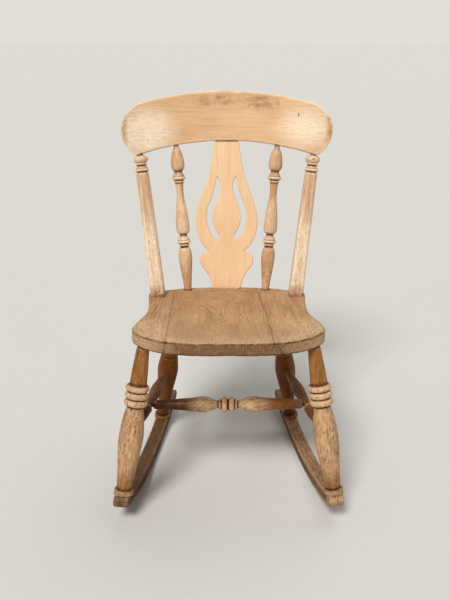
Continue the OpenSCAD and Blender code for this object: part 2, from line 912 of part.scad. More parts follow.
module cross_stretcher() {
    color(tan_beech) {
        translate([0, cross_end.y, cross_end.z])
            rotate([0, 90, 0])
                for (end = [0, 1]) mirror([0, 0, end]) turned(cross_turned_half);
        cross_tenons();
    }
}

// ---- Rockers ----

toe_s = along(-front_foot_y) - toe_reach;
tail_s = along(rear_foot_y) + tail_reach;
rocker_middle_radius = rocker_radius - rocker_thickness / 2;
toe_angle = asin((toe_s + rocker_thickness / 2) / rocker_middle_radius);
tail_angle = asin((tail_s - rocker_thickness / 2) / rocker_middle_radius);

// Side view of a rocker: x along it, y up, with bull-nosed ends and a worn flat underneath
module rocker_outline() {
    intersection() {
        translate([0, rocker_center_z]) {
            intersection() {
                difference() {
                    circle(r = rocker_radius, $fn = arc_fn);
                    circle(r = rocker_top_radius, $fn = arc_fn);
                }
                polygon([
                    [0, 0],
                    2 * rocker_radius * [sin(toe_angle), -cos(toe_angle)],
                    2 * rocker_radius * [sin(tail_angle), -cos(tail_angle)]
                ]);
            }
            for (a = [toe_angle, tail_angle])
                translate(rocker_middle_radius * [sin(a), -cos(a)])
                    circle(d = rocker_thickness, $fn = round_fn);
        }
        translate([-big / 2, 0]) square(big);
    }
}

module rocker(left) {
    color(grey_brown)
        on_side(left)
            difference() {
                rocker_frame()
                    rotate([90, 0, 0])
                        linear_extrude(height = rocker_width, center = true)
                            rocker_outline();
                foot_tenons(tenon_fit);
            }
}

module rocker_left() { rocker(true); }
module rocker_right() { rocker(false); }

seat_center_board();
seat_left_board();
seat_right_board();
crest_rail();
splat();
back_post_left();
back_post_right();
spindle_left();
spindle_right();
front_leg_left();
front_leg_right();
rear_leg_left();
rear_leg_right();
side_stretcher_left();
side_stretcher_right();
cross_stretcher();
rocker_left();
rocker_right();
post_foot_nails();
post_head_nail();
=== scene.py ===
"""A lyre-back kitchen rocking chair, stripped bare: a pale beech back, an elm seat, stained legs and grimy
rockers."""

import math

import bmesh
import bpy
import numpy as np
from mathutils import Euler, Matrix, Vector


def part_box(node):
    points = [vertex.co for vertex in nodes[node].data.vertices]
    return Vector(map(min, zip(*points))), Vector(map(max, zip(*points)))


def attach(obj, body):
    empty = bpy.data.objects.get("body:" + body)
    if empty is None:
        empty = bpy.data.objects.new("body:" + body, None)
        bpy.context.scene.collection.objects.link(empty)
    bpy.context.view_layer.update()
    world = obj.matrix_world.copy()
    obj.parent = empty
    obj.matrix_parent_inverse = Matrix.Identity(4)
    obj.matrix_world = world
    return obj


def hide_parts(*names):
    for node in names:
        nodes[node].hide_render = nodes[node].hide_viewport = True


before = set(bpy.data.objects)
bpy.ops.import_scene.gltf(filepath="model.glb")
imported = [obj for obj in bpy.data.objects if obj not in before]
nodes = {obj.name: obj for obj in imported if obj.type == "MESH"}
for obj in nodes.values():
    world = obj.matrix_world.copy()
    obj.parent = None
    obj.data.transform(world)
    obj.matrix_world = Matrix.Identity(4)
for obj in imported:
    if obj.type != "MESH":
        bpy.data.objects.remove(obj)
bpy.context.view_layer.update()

MM = 0.001

# Slopes and curves of the construction
SEAT_SLOPE = math.radians(3)
BACK_RAKE = math.radians(11.5)
CREST_BOW = 480 * MM
SEAT_HEIGHT, SEAT_REACH, SEAT_DEPTH = 405 * MM, 245.5 * MM, 405 * MM
LEFT_JOINT_X, LEFT_JOINT_LEAN = -126 * MM, math.radians(-12)
RIGHT_JOINT_X, RIGHT_JOINT_LEAN, RIGHT_JOINT_TURN = 80 * MM, math.radians(38), math.radians(2.5)
# The glue line in the construction is a little thinner than this
GLUE_LINE = 0.12 * MM

# The rockers stand upright and run through the feet of the legs, their toes wider apart than their tails
FRONT_FOOT_X, FRONT_FOOT_Y = 222 * MM, 240 * MM
REAR_FOOT_X, REAR_FOOT_Y = 166 * MM, 150 * MM
BALANCE_Y = 15.5 * MM
ROCKER_RADIUS, ROCKER_THICKNESS, ROCKER_FLAT = 950 * MM, 24 * MM, 50 * MM
TRACK = math.atan2(FRONT_FOOT_X - REAR_FOOT_X, FRONT_FOOT_Y + REAR_FOOT_Y)
ROCKER_TOP_RADIUS = ROCKER_RADIUS - ROCKER_THICKNESS
ROCKER_CENTER_Z = ROCKER_RADIUS - ROCKER_FLAT ** 2 / (8 * ROCKER_RADIUS)
CONTACT_X = FRONT_FOOT_X - (FRONT_FOOT_Y + BALANCE_Y) * math.tan(TRACK)
LEG_TENON_RADIUS, COLLAR_FROM = 11 * MM, 7 * MM
SEAT_SOCKET, CREST_SOCKET = 17 * MM, 20 * MM


# ---------------------------------------------------------------- small helpers

def srgb(code):
    """Linear colour of an sRGB hex code."""
    parts = [int(code[i:i + 2], 16) / 255 for i in (1, 3, 5)]
    return [c / 12.92 if c <= 0.04045 else ((c + 0.055) / 1.055) ** 2.4 for c in parts] + [1.0]


def add(tree, kind, links=None, out=0, **settings):
    """Adds a node, sets its properties, fills or links its inputs, and returns one of its outputs."""
    node = tree.nodes.new(kind)
    for key, value in settings.items():
        setattr(node, key, value)
    for key, value in (links or {}).items():
        if isinstance(value, bpy.types.NodeSocket):
            tree.links.new(value, node.inputs[key])
        else:
            node.inputs[key].default_value = value
    return node.outputs[out] if len(node.outputs) else node


MATH, VECTOR_MATH, RANGE = "ShaderNodeMath", "ShaderNodeVectorMath", "ShaderNodeMapRange"
NOISE, MIX, BUMP = "ShaderNodeTexNoise", "ShaderNodeMix", "ShaderNodeBump"
SURFACE, OUTPUT = "ShaderNodeBsdfPrincipled", "ShaderNodeOutputMaterial"
COLOUR = {"out": 2, "data_type": "RGBA", "clamp_factor": True}
SMOOTH = {"interpolation_type": "SMOOTHSTEP"}


def lumps(points, size, seed):
    """Smooth random values in -1..1 at points, with lumps about size across."""
    p = points / size + seed * 17.31
    cell = np.floor(p).astype(np.int64)
    f = p - cell
    f = f * f * (3 - 2 * f)
    total = np.zeros(len(p))
    for corner in np.ndindex(2, 2, 2):
        c = cell + corner
        h = (c[:, 0] * 73856093) ^ (c[:, 1] * 19349663) ^ (c[:, 2] * 83492791) ^ (seed * 2654435761)
        h = ((h ^ (h >> 13)) * 1274126177) & 0x7FFFFFFF
        total += np.prod(np.where(corner, f, 1 - f), axis=1) * (h % 65536 / 32767.5 - 1)
    return total


def positions(mesh):
    """Where each vertex is, one row each."""
    flat = np.empty(len(mesh.vertices) * 3, np.float32)
    mesh.vertices.foreach_get("co", flat)
    return flat.reshape(-1, 3).astype(float)


def move_to(mesh, points):
    """Puts each vertex at its row of points."""
    mesh.vertices.foreach_set("co", points.astype(np.float32).ravel())
    mesh.update()


def normals(mesh):
    """The outward direction at each vertex, one row each."""
    flat = np.empty(len(mesh.vertices) * 3, np.float32)
    mesh.vertex_normals.foreach_get("vector", flat)
    return flat.reshape(-1, 3).astype(float)


def store(mesh, name, values):
    """Keeps one number or one vector per vertex for the shaders."""
    vector = values.ndim == 2
    layer = mesh.attributes.new(name, "FLOAT_VECTOR" if vector else "FLOAT", "POINT")
    layer.data.foreach_set("vector" if vector else "value", values.astype(np.float32).ravel())


def read(mesh, name):
    """The number that store kept for each vertex under name."""
    values = np.empty(len(mesh.vertices), np.float32)
    mesh.attributes[name].data.foreach_get("value", values)
    return values.astype(float)


def inside_box(points, node):
    """Points brought inside the box of a node of the frame."""
    low, high = (np.array(corner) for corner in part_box(node))
    return np.clip(points, low, high)


def outward(mesh):
    """Merges doubled vertices and turns every face outward."""
    bm = bmesh.new()
    bm.from_mesh(mesh)
    bmesh.ops.remove_doubles(bm, verts=bm.verts, dist=1e-6)
    bmesh.ops.recalc_face_normals(bm, faces=bm.faces)
    bm.to_mesh(mesh)
    bm.free()


def place(node, mesh, material):
    """Puts a finished mesh in the scene in place of its node of the frame."""
    mesh.materials.clear()
    mesh.materials.append(material)
    mesh.shade_smooth()
    piece = bpy.data.objects.new(node + "_made", mesh)
    bpy.context.scene.collection.objects.link(piece)
    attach(piece, "root")
    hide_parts(node)


# ---------------------------------------------------------------- wood

def wood(name, pale, tone, brown, bare, stain, dirt, ring, rings, streak, broad, fleck, blotch, rough,
         bump=0.5, coarse=1.0, patchy=2.8, wormed=False):
    """Bare wood. Its growth rings, ring millimetres apart, run round the pith, the line where the grain
    attribute is zero across. Rings and pores are drawn two or three times coarser than real, so that they
    show at this size. rings, streak, broad, fleck and blotch are the strengths of its rings, fibres, bands,
    pores and drifts of tone. coarse widens its fibres and pores, and patchy breaks up what is bleached or
    rubbed pale."""
    material = bpy.data.materials.new(name)
    material.use_nodes = True
    tree = material.node_tree
    tree.nodes.clear()
    pale, tone, brown, bare, stain, dirt = (srgb(code) for code in (pale, tone, brown, bare, stain, dirt))
    grain = add(tree, "ShaderNodeAttribute", attribute_name="grain", out="Vector")
    worn, grime_and_shade, spoilt, bleached_and_highlit, end_grain = (
        add(tree, "ShaderNodeAttribute", attribute_name=layer, out="Fac")
        for layer in ("worn", "dirt", "stain", "bleach", "end"))

    def stretched(along, across, detail=3.0, distortion=0.0):
        """Noise in -0.5..0.5 whose lumps are along by across millimetres, drawn out along the grain."""
        per_metre = (1000 / along, 1000 / across, 1000 / across)
        scaled = add(tree, VECTOR_MATH, {0: grain, 1: per_metre}, operation="MULTIPLY")
        value = add(tree, NOISE,
                    {"Vector": scaled, "Scale": 1.0, "Detail": detail, "Distortion": distortion})
        return add(tree, MATH, {0: value, 1: 0.5}, operation="SUBTRACT")

    # Growth rings round the pith, wandering with the tree's growth, some strong and some faint
    across = add(tree, VECTOR_MATH, {0: grain, 1: (0.0, 1.0, 1.0)}, operation="MULTIPLY")
    from_pith = add(tree, VECTOR_MATH, {0: across}, operation="LENGTH", out=1)
    ringed = add(tree, MATH, {0: stretched(220, 45, 2.0), 1: 0.030, 2: from_pith}, operation="MULTIPLY_ADD")
    count = add(tree, MATH, {0: ringed, 1: 1000 / ring}, operation="MULTIPLY")
    turns = add(tree, MATH, {0: count, 1: 2 * math.pi}, operation="MULTIPLY")
    wave = add(tree, MATH, {0: turns}, operation="SINE")
    strength = add(tree, NOISE, {"W": count, "Scale": 0.37, "Detail": 1.0}, noise_dimensions="1D")
    strength = add(tree, RANGE, {0: strength, 1: 0.3, 2: 0.7, 4: rings}, **SMOOTH)
    late = add(tree, RANGE, {0: wave, 1: -0.2, 4: strength}, **SMOOTH)
    sawn_across = add(tree, MATH, {0: end_grain, 1: 0.9}, operation="MULTIPLY")
    end_rings = add(tree, RANGE, {0: wave, 1: -0.8, 4: sawn_across}, **SMOOTH)
    late = add(tree, MATH, {0: end_rings, 1: late}, operation="MAXIMUM")

    # Long fibres, broader bands, slow drifts of tone, and short pores that show most in bleached wood
    fibres = stretched(60 * coarse, 2.2 * coarse, 4.0, 0.6)
    bands = stretched(140, 8, 3.0, 0.3)
    drift = stretched(110, 50, 3.0)
    pores = stretched(7 * coarse, 1.4 * coarse, 2.0, 0.5)
    open_pores = add(tree, MATH, {0: bleached_and_highlit, 1: 0.9 * fleck, 2: 0.35 * fleck}, operation="MULTIPLY_ADD")
    open_pores = add(tree, RANGE, {0: stretched(50, 25, 2.0), 1: -0.22, 2: 0.06, 4: open_pores}, **SMOOTH)
    flecks = add(tree, RANGE, {0: pores, 1: 0.03, 2: 0.14, 4: open_pores}, **SMOOTH)

    tones = add(tree, MATH, {0: drift, 1: 2.6 * blotch, 2: 0.5}, operation="MULTIPLY_ADD")
    colour = add(tree, MIX, {0: tones, 6: pale, 7: tone}, **COLOUR)
    banded = add(tree, RANGE, {0: bands, 2: 0.2, 4: broad}, **SMOOTH)
    colour = add(tree, MIX, {0: banded, 6: colour, 7: brown}, **COLOUR)
    lines = add(tree, RANGE, {0: fibres, 1: -0.02, 2: 0.18, 4: streak}, **SMOOTH)
    lines = add(tree, MATH, {0: lines, 1: late}, operation="MAXIMUM")
    colour = add(tree, MIX, {0: lines, 6: colour, 7: brown}, **COLOUR)
    darker_end = add(tree, MATH, {0: end_grain, 1: 0.4}, operation="MULTIPLY")
    colour = add(tree, MIX, {0: darker_end, 6: colour, 7: brown}, **COLOUR)

    # Bleached and rubbed wood is pale in broken patches; on the crest, the posts and the cross stretcher
    # this pale also stands for painted highlights
    broken = stretched(16 * coarse, 4 * coarse, 5.0)
    broken = add(tree, MATH, {0: broken, 1: patchy, 2: 0.9}, operation="MULTIPLY_ADD")
    bleached_and_highlit = add(tree, MATH, {0: bleached_and_highlit, 1: broken}, operation="MULTIPLY")
    colour = add(tree, MIX, {0: bleached_and_highlit, 6: colour, 7: bare}, **COLOUR)
    colour = add(tree, MIX, {0: flecks, 6: colour, 7: stain}, **COLOUR)
    worn = add(tree, MATH, {0: worn, 1: broken}, operation="MULTIPLY")
    colour = add(tree, MIX, {0: worn, 6: colour, 7: bare}, **COLOUR)

    # Stains lie in soft patches and small specks, and dirt lies unevenly; the same dark mix also carries
    # painted shade and painted shadow lines on some pieces
    patches = add(tree, MATH, {0: stretched(16, 9, 6.0), 1: 1.5, 2: spoilt}, operation="MULTIPLY_ADD")
    within = add(tree, RANGE, {0: spoilt, 2: 0.25}, **SMOOTH)
    patches = add(tree, RANGE, {0: patches, 2: 1.1, 4: within}, **SMOOTH)
    speckled = add(tree, MATH, {0: spoilt, 1: 1.3}, operation="MULTIPLY")
    specks = add(tree, RANGE, {0: stretched(5, 3, 3.0), 2: 0.16, 4: speckled}, **SMOOTH)
    stained = add(tree, MATH, {0: patches, 1: specks}, operation="MAXIMUM")
    colour = add(tree, MIX, {0: stained, 6: colour, 7: stain}, **COLOUR)
    uneven = add(tree, MATH, {0: stretched(12, 8, 4.0), 1: 1.3, 2: 1.0}, operation="MULTIPLY_ADD")
    grime_and_shade = add(tree, MATH, {0: grime_and_shade, 1: uneven}, operation="MULTIPLY")
    colour = add(tree, MIX, {0: grime_and_shade, 6: colour, 7: dirt}, **COLOUR)

    relief = add(tree, MATH, {0: pores, 1: -0.8, 2: fibres}, operation="MULTIPLY_ADD")
    if wormed:
        # Woodworm flight holes, about 1.5 mm across, in a few places
        spread = add(tree, VECTOR_MATH, {0: grain, 1: (55.0, 90.0, 90.0)}, operation="MULTIPLY")
        near = add(tree, "ShaderNodeTexVoronoi", {"Vector": spread, "Scale": 1.0})
        places = add(tree, RANGE, {0: stretched(60, 40, 1.0), 1: 0.02, 2: 0.06}, **SMOOTH)
        holes = add(tree, RANGE, {0: near, 1: 0.10, 2: 0.07, 4: places}, **SMOOTH)
        colour = add(tree, MIX, {0: holes, 6: colour, 7: srgb("#2a190d")}, **COLOUR)
        relief = add(tree, MATH, {0: holes, 1: -3.0, 2: relief}, operation="MULTIPLY_ADD")

    raised = add(tree, BUMP, {"Strength": bump, "Distance": 0.6 * MM, "Height": relief})
    rubbed = add(tree, MATH, {0: drift, 1: 0.25, 2: rough}, operation="MULTIPLY_ADD")
    surface = add(tree, SURFACE,
                  {"Base Color": colour, "Roughness": rubbed, "Normal": raised, "Specular IOR Level": 0.2})
    add(tree, OUTPUT, {"Surface": surface})
    return material


def rusty_iron():
    """Old wire nails: dark iron, nearly dull under brown rust in spots under a millimetre across."""
    material = bpy.data.materials.new("rusty_iron")
    material.use_nodes = True
    tree = material.node_tree
    tree.nodes.clear()
    where = add(tree, "ShaderNodeTexCoord", out="Object")
    spots = add(tree, NOISE, {"Vector": where, "Scale": 1400.0, "Detail": 4.0})
    colour = add(tree, MIX, {0: spots, 6: srgb("#2b1d16"), 7: srgb("#7a4526")}, **COLOUR)
    raised = add(tree, BUMP, {"Strength": 0.6, "Distance": 0.1 * MM, "Height": spots})
    surface = add(tree, SURFACE,
                  {"Base Color": colour, "Roughness": 0.75, "Metallic": 0.3, "Normal": raised})
    add(tree, OUTPUT, {"Surface": surface})
    return material


# Sanded beech, rubbed smooth by hands: honey with faint long grain, going cream where it is bleached and
# where a highlight is painted
crest_beech = wood(
    "crest_beech", pale="#e7bb8a", tone="#d3a374", brown="#a26f42",
    bare="#fbe8cb", stain="#92683e", dirt="#5a3e26",
    ring=9, rings=0.2, streak=0.25, broad=0.22, fleck=0.18, blotch=0.8, rough=0.5, patchy=1.3)
# Newly sanded beech, the palest and evenest piece, with hardly any pores
splat_beech = wood(
    "splat_beech", pale="#f4d0a4", tone="#eac296", brown="#cd9a68",
    bare="#f8dfba", stain="#a9764a", dirt="#6a4020",
    ring=8, rings=0.16, streak=0.22, broad=0.16, fleck=0.15, blotch=1.0, rough=0.55)
# Stripped turned beech with a soft shine: streaked pink-brown, with old stain down in its grooves
turned_beech = wood(
    "turned_beech", pale="#e6c097", tone="#cc9f76", brown="#8f5e39",
    bare="#fbe6c8", stain="#8f5a2c", dirt="#472410",
    ring=7, rings=0.25, streak=0.6, broad=0.4, fleck=0.6, blotch=1.1, rough=0.38, patchy=2.4)
# Bare elm, dry and matt: strong wavy rings, open pores, and dirt along its edges
seat_elm = wood(
    "seat_elm", pale="#c69b6f", tone="#ac8057", brown="#714a28",
    bare="#dfbd93", stain="#583713", dirt="#3f2409",
    ring=4.5, rings=0.6, streak=0.4, broad=0.3, fleck=1.0, blotch=0.9, rough=0.65, bump=0.9)
# Half-stripped turned beech: orange stain where it is left, grey-pink flecked wood where it is gone
leg_beech = wood(
    "leg_beech", pale="#b57c40", tone="#955f2c", brown="#5f3717",
    bare="#dab38b", stain="#45250e", dirt="#4a2307",
    ring=7, rings=0.3, streak=0.7, broad=0.4, fleck=1.0, blotch=1.0, rough=0.42,
    bump=0.9, coarse=1.1, wormed=True)
# Turned beech that still holds its dark orange stain, with a dull shine; its colours are also darkened as
# painted shade for the rear legs under the seat
stained_beech = wood(
    "stained_beech", pale="#8c4f08", tone="#6c3804", brown="#3f1e04",
    bare="#b97f3a", stain="#2d1605", dirt="#1f1004",
    ring=8, rings=0.3, streak=0.6, broad=0.4, fleck=1.0, blotch=1.0, rough=0.42, coarse=1.2)
# Beech gone dull brown with ground-in dirt, its colours also darkened as painted shade for the low parts
# under the seat, scuffed paler by feet
grimy_beech = wood(
    "grimy_beech", pale="#85552c", tone="#5d3a1b", brown="#36200d",
    bare="#c39c74", stain="#26160b", dirt="#1e1208",
    ring=8, rings=0.3, streak=0.6, broad=0.4, fleck=1.0, blotch=1.1, rough=0.6,
    bump=0.9, coarse=1.1, wormed=True)
iron = rusty_iron()


# ---------------------------------------------------------------- turned pieces

# No turned piece lies along this direction, so angles round a piece can be measured from it
ASIDE = (0.3, 0.8, 0.5)


def ring_centre(points, u):
    """Centre of the circle that best fits points on a ring square to u."""
    side = np.cross(u, ASIDE)
    side /= np.linalg.norm(side)
    plane = np.array([side, np.cross(u, side)])
    flat = points @ plane.T
    terms = np.column_stack([2 * flat, np.ones(len(flat))])
    best = np.linalg.lstsq(terms, (flat ** 2).sum(1), rcond=None)[0]
    return best[:2] @ plane + u * (points @ u).mean()


def axis_ends(points, rough):
    """Centres of the two flat ends of a turned piece that lies roughly along rough."""
    u = np.array(rough, float)
    for reach in (2 * MM, 0.5 * MM, 0.1 * MM, 0.05 * MM):
        along = points @ u
        at_ends = along < along.min() + reach, along > along.max() - reach
        ends = [ring_centre(points[pick], u) for pick in at_ends]
        u = (ends[1] - ends[0]) / np.linalg.norm(ends[1] - ends[0])
    return ends


def lathe_rings(points, start, u):
    """(distance along, radius) of every full ring of vertices on a turned piece."""
    s = (points - start) @ u
    off = points - start - np.outer(s, u)
    r = np.linalg.norm(off, axis=1)
    side = np.cross(u, ASIDE)
    side /= np.linalg.norm(side)
    angle = np.arctan2(off @ np.cross(u, side), off @ side)
    rings = []
    order = np.argsort(s)
    for level in np.split(order, np.flatnonzero(np.diff(s[order]) > 0.02 * MM) + 1):
        level = level[np.argsort(r[level])]
        found = []
        for pick in np.split(level, np.flatnonzero(np.diff(r[level]) > 0.1 * MM) + 1):
            turns = np.sort(angle[pick])
            gap = np.diff(np.append(turns, turns[0] + 2 * math.pi)).max()
            if len(pick) >= 10 and gap < 1.2:
                found.append((s[pick].mean(), r[pick].mean()))
        if rings and found and abs(rings[-1][1] - found[-1][1]) < abs(rings[-1][1] - found[0][1]):
            found.reverse()
        rings += found
    return rings


def softened(rings, step=1.2 * MM, flat=0.03 * MM, longest=4 * MM):
    """An outline with its arrises rounded a little, as handling wears them."""
    dense = []
    for (s0, r0), (s1, r1) in zip(rings[:-1], rings[1:]):
        n = max(1, int(math.hypot(s1 - s0, r1 - r0) / step))
        dense += [(s0 + (s1 - s0) * i / n, r0 + (r1 - r0) * i / n) for i in range(n)]
    p = np.array(dense + [rings[-1]])
    q = np.empty((2 * len(p) - 2, 2))
    q[0::2] = 0.75 * p[:-1] + 0.25 * p[1:]
    q[1::2] = 0.25 * p[:-1] + 0.75 * p[1:]
    kept = [0]
    for i in range(1, len(q) - 1):
        a, d = q[kept[-1]], q[i + 1] - q[kept[-1]]
        away = abs(d[0] * (q[i] - a)[1] - d[1] * (q[i] - a)[0]) / max(np.hypot(*d), 1e-9)
        if away > flat or np.hypot(*(q[i] - a)) > longest:
            kept.append(i)
    return q[kept + [len(q) - 1]]


# How far a chamfer's arrises are rounded, as a share of half the width
CORNER_ROUNDING = 0.04


def turning_tree():
    """Geometry nodes that spin an outline round Z. An outline point is (radius, corners, height): corners is
    0 where the piece is round, or else its width across the chamfered corners as a share of its width."""
    tree = bpy.data.node_groups.new("Turning", "GeometryNodeTree")
    for name, kind in (("Outline", "Geometry"), ("Sides", "Int"), ("Out of round", "Float"),
                       ("Seed", "Int"), ("Wood", "Material")):
        tree.interface.new_socket(name, in_out="INPUT", socket_type="NodeSocket" + kind)
    tree.interface.new_socket("Piece", in_out="OUTPUT", socket_type="NodeSocketGeometry")
    given = tree.nodes.new("NodeGroupInput").outputs
    stations = add(tree, "GeometryNodeAttributeDomainSize", {"Geometry": given["Outline"]})
    columns = add(tree, MATH, {0: given["Sides"], 1: 1.0}, operation="ADD")
    grid = add(tree, "GeometryNodeMeshGrid", {"Vertices X": stations, "Vertices Y": columns})

    # Each vertex of the grid is at one station along the outline and one column round it
    index = add(tree, "GeometryNodeInputIndex")
    middle = add(tree, MATH, {0: index, 1: 0.5}, operation="ADD")
    station = add(tree, MATH, {0: middle, 1: columns}, operation="DIVIDE")
    station = add(tree, MATH, {0: station}, operation="FLOOR")
    passed = add(tree, MATH, {0: station, 1: columns}, operation="MULTIPLY")
    column = add(tree, MATH, {0: index, 1: passed}, operation="SUBTRACT")
    share = add(tree, MATH, {0: column, 1: given["Sides"]}, operation="DIVIDE")
    angle = add(tree, MATH, {0: share, 1: 2 * math.pi}, operation="MULTIPLY")
    x = add(tree, MATH, {0: angle}, operation="COSINE")
    y = add(tree, MATH, {0: angle}, operation="SINE")
    here = add(tree, "GeometryNodeInputPosition")
    point = add(tree, "GeometryNodeSampleIndex", {0: given["Outline"], "Value": here, "Index": station},
                data_type="FLOAT_VECTOR")
    radius, corners, height = add(tree, "ShaderNodeSeparateXYZ", {0: point}).node.outputs

    # Distance to a square's side, and to its chamfer, in this direction
    x_size = add(tree, MATH, {0: x}, operation="ABSOLUTE")
    y_size = add(tree, MATH, {0: y}, operation="ABSOLUTE")
    larger = add(tree, MATH, {0: x_size, 1: y_size}, operation="MAXIMUM")
    side = add(tree, MATH, {0: 1.0, 1: larger}, operation="DIVIDE")
    diagonal = add(tree, MATH, {0: corners, 1: math.sqrt(2)}, operation="MULTIPLY")
    both = add(tree, MATH, {0: x_size, 1: y_size}, operation="ADD")
    chamfer = add(tree, MATH, {0: diagonal, 1: both}, operation="DIVIDE")
    square = add(tree, MATH, {0: side, 1: chamfer, 2: CORNER_ROUNDING}, operation="SMOOTH_MIN")
    cornered = add(tree, MATH, {0: corners, 1: 0.5}, operation="GREATER_THAN")
    shape = add(tree, MIX, {0: cornered, 2: 1.0, 3: square})

    # Slow swings out of round, changing every 40 mm or so along the piece
    far = add(tree, MATH, {0: height, 1: 25.0}, operation="MULTIPLY")
    around = add(tree, "ShaderNodeCombineXYZ", {0: x, 1: y, 2: far})
    swing = add(tree, NOISE, {"Vector": around, "W": given["Seed"], "Scale": 1.1, "Detail": 1.0},
                noise_dimensions="4D")
    swing = add(tree, MATH, {0: swing, 1: 0.5}, operation="SUBTRACT")
    swing = add(tree, MATH, {0: swing, 1: given["Out of round"], 2: 1.0}, operation="MULTIPLY_ADD")
    reach = add(tree, MATH, {0: radius, 1: shape}, operation="MULTIPLY")
    reach = add(tree, MATH, {0: reach, 1: swing}, operation="MULTIPLY")
    x = add(tree, MATH, {0: reach, 1: x}, operation="MULTIPLY")
    y = add(tree, MATH, {0: reach, 1: y}, operation="MULTIPLY")
    spun = add(tree, "ShaderNodeCombineXYZ", {0: x, 1: y, 2: height})
    moved = add(tree, "GeometryNodeSetPosition", {"Geometry": grid, "Position": spun})
    closed = add(tree, "GeometryNodeMergeByDistance", {"Geometry": moved, "Distance": 1e-6})
    real = add(tree, "GeometryNodeRealizeInstances", {"Geometry": closed})
    dressed = add(tree, "GeometryNodeSetMaterial", {"Geometry": real, "Material": given["Wood"]})
    add(tree, "NodeGroupOutput", {0: dressed})
    return tree


TURNING = turning_tree()


def spin(name, outline, material, seed, sides=72, out_of_round=0.02):
    """Spins an outline of (distance along, radius, corners) into a plain closed mesh along +Z."""
    wire = bpy.data.meshes.new(name + "_outline")
    first, last = outline[0][0], outline[-1][0]
    points = [(radius, corners, along) for along, radius, corners in outline]
    wire.from_pydata([(0, 0, first), *points, (0, 0, last)], [], [])
    lathe = bpy.data.objects.new(name + "_lathe", wire)
    bpy.context.scene.collection.objects.link(lathe)
    modifier = lathe.modifiers.new("Turning", "NODES")
    modifier.node_group = TURNING
    values = {"Sides": sides, "Out of round": out_of_round, "Seed": seed, "Wood": material}
    for item in TURNING.interface.items_tree:
        if item.name in values:
            modifier[item.identifier] = values[item.name]
    bpy.context.view_layer.update()
    made = lathe.evaluated_get(bpy.context.evaluated_depsgraph_get())
    mesh = bpy.data.meshes.new_from_object(made)
    bpy.data.objects.remove(lathe)
    outward(mesh)
    return mesh


def wear(outline, reach=3 * MM, depth=0.9 * MM):
    """The points of an outline, and how hollow (dirty) and how proud (rubbed) each is, both 0..1."""
    p = np.array([(s, r) for s, r, _ in outline])
    length = np.concatenate([[0], np.cumsum(np.hypot(*np.diff(p, axis=0).T))])
    weight = np.exp(-((length[:, None] - length) / reach) ** 2 / 2) * np.gradient(length)
    mean = (weight @ p) / weight.sum(1, keepdims=True)
    run = np.gradient(p, axis=0)
    out = np.column_stack([-run[:, 1], run[:, 0]]) / np.maximum(np.hypot(*run.T), 1e-9)[:, None]
    hollow = np.sum((mean - p) * out, axis=1) / depth
    return p, np.clip(hollow, 0, 1), np.clip(-hollow, 0, 1)


def rest_on_rocker(points, u):
    """Slides what would sink into the rocker of a leg's collar up along the leg, onto the rocker's top."""
    side = 1 if points[:, 0].mean() > 0 else -1
    outer, back = points[:, 0] * side - CONTACT_X, points[:, 1] - BALANCE_Y
    run = back * math.cos(TRACK) - outer * math.sin(TRACK)
    up = points[:, 2] - ROCKER_CENTER_Z
    speed = np.array([u[1] * math.cos(TRACK) - u[0] * side * math.sin(TRACK), u[2]])
    # Where the line through each point along the leg's axis meets the rocker's top
    a = speed @ speed
    b = run * speed[0] + up * speed[1]
    c = run ** 2 + up ** 2 - (ROCKER_TOP_RADIUS - 0.1 * MM) ** 2
    lift = (-b - np.sqrt(b ** 2 - a * c)) / a
    # A hair's breadth keeps points on one line along the leg from landing on each other
    apart = 0.02 * (points @ u - (points @ u).min())
    return points + np.outer(np.where(c > 0, lift + apart, 0), u)


# Share of a turned piece's radius that its surface rises and falls by
UNEVEN_TURNING = 0.006


